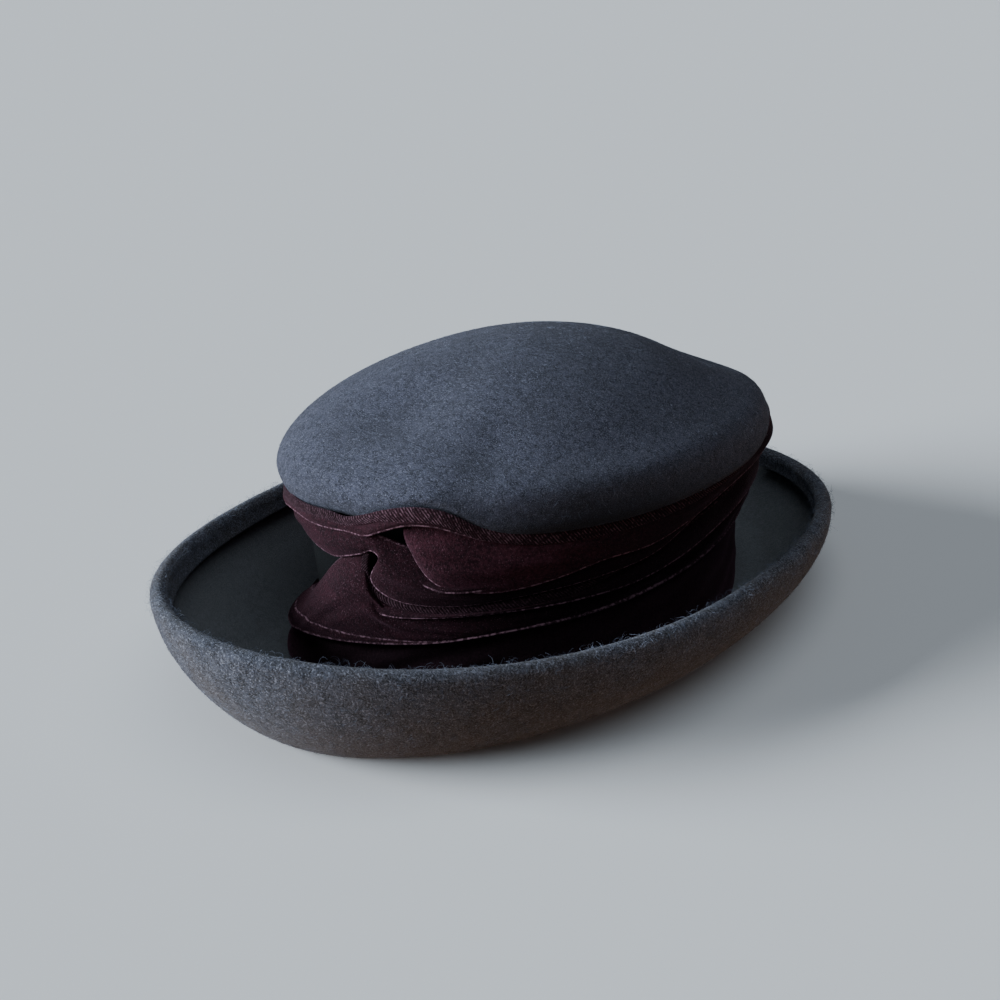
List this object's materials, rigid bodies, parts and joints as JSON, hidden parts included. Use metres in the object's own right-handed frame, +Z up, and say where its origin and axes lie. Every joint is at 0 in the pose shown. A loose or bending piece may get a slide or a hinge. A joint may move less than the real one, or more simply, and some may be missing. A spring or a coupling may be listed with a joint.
{
  "type": "wool felt hat",
  "caption": "Low domed felt hat with a bowl-shaped brim turned up all round and a pleated velvet band twisted into a soft knot on one side; worn on the head.",
  "frame": {"origin": "on the surface that the hat rests on, under the middle of the brim", "axes": "+Z up, -Y to the front of the hat, +X to the wearer's left, where the knot is"},
  "size_m": [0.249, 0.318, 0.121],
  "materials": {
    "crown_felt": "brushed wool felt, dark blue-grey",
    "brim_felt": "coarse melange wool felt with pale fibres",
    "velvet": "dark burgundy velvet with a light sheen on its folds",
    "velvet_shade": "the same velvet, pressed flat"
  },
  "bodies": {
    "root": {"crown": "crown_felt", "brim": "brim_felt", "band_upper": "velvet", "band_middle": "velvet", "band_lower": "velvet", "band_base": "velvet_shade", "knot_lobe": "velvet", "knot_fold": "velvet"}
  },
  "joints": []
}
